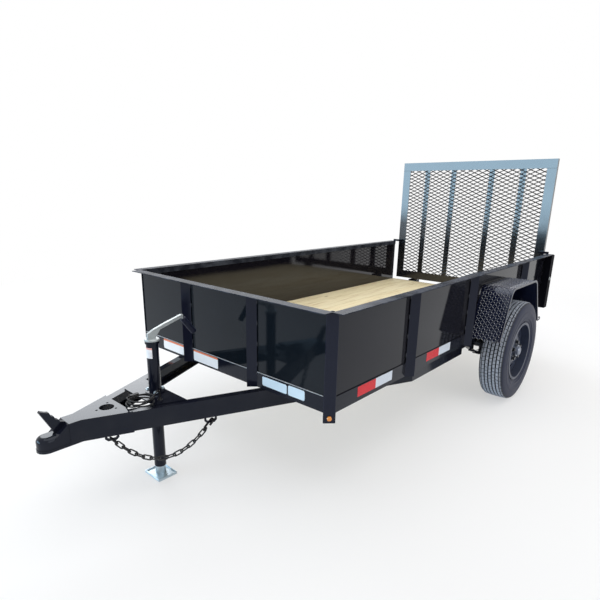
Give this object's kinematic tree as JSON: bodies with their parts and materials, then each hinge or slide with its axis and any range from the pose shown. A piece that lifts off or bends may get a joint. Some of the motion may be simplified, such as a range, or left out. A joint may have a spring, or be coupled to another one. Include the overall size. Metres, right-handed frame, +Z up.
{
  "type": "utility trailer",
  "caption": "Single-axle utility trailer with solid steel sides, a board deck, an A-frame tongue with a ball coupler and drop-leg jack, and a hinged mesh ramp gate at the rear.",
  "frame": {"origin": "on the ground, under the middle of the trailer's length and width", "axes": "+X towards the coupler, +Y to the trailer's left, +Z up"},
  "size_m": [4.056, 1.978, 1.691],
  "materials": {
    "black_paint": "gloss",
    "pine": "bare",
    "zinc": "zinc plated",
    "grip_plastic": "matte",
    "soft_rubber": "matte",
    "amber_lens": "gloss",
    "red_lens": "gloss",
    "tread_rubber": "matte"
  },
  "bodies": {
    "chassis": {"side_rail_left": "black_paint", "side_rail_right": "black_paint", "front_rail": "black_paint", "rear_sill": "black_paint", "cross_members": "black_paint", "front_panel": "black_paint", "side_panel_left": "black_paint", "side_panel_right": "black_paint", "side_top_rail_left": "black_paint", "side_top_rail_right": "black_paint", "front_top_rail": "black_paint", "front_posts": "black_paint", "rear_posts": "black_paint", "front_stakes": "black_paint", "side_stakes_left": "black_paint", "side_stakes_right": "black_paint", "tongue_beam_left": "black_paint", "tongue_beam_right": "black_paint", "coupler": "black_paint", "jack_plate": "black_paint", "jack_tube": "black_paint", "chain_loops": "black_paint", "fender_left": "black_paint", "fender_right": "black_paint", "axle": "black_paint", "leaf_springs": "black_paint", "spring_hangers": "black_paint", "gate_latches": "black_paint", "gate_pins": "black_paint", "deck_boards": "pine", "coupler_latch": "black_paint", "jack_leg": "zinc", "jack_foot": "zinc", "jack_crank": "zinc", "jack_grip": "grip_plastic", "safety_chain": "black_paint", "chain_hook": "black_paint", "harness_grommet": "soft_rubber", "harness_lead": "soft_rubber", "harness_coil": "soft_rubber", "harness_plug": "soft_rubber", "marker_lamps": "amber_lens", "tail_lamps": "red_lens"},
    "wheel_left": {"tyre_left": "tread_rubber", "rim_left": "black_paint", "hub_left": "zinc"},
    "wheel_right": {"tyre_right": "tread_rubber", "rim_right": "black_paint", "hub_right": "zinc"},
    "gate": {"gate_frame": "black_paint", "gate_mesh": "black_paint", "gate_bars": "black_paint", "gate_hinges": "black_paint"}
  },
  "joints": [
    {"name": "wheel_left_spin", "type": "hinge", "parent": "chassis", "child": "wheel_left", "pos_m": [-0.772, 0.903, 0.3445], "axis": [0, 1, 0], "continuous": true},
    {"name": "wheel_right_spin", "type": "hinge", "parent": "chassis", "child": "wheel_right", "pos_m": [-0.772, -0.903, 0.3445], "axis": [0, 1, 0], "continuous": true},
    {"name": "gate_swing", "type": "hinge", "parent": "chassis", "child": "gate", "pos_m": [-2.015, 0, 0.5], "axis": [0, -1, 0], "range_deg": [0, 114]}
  ]
}
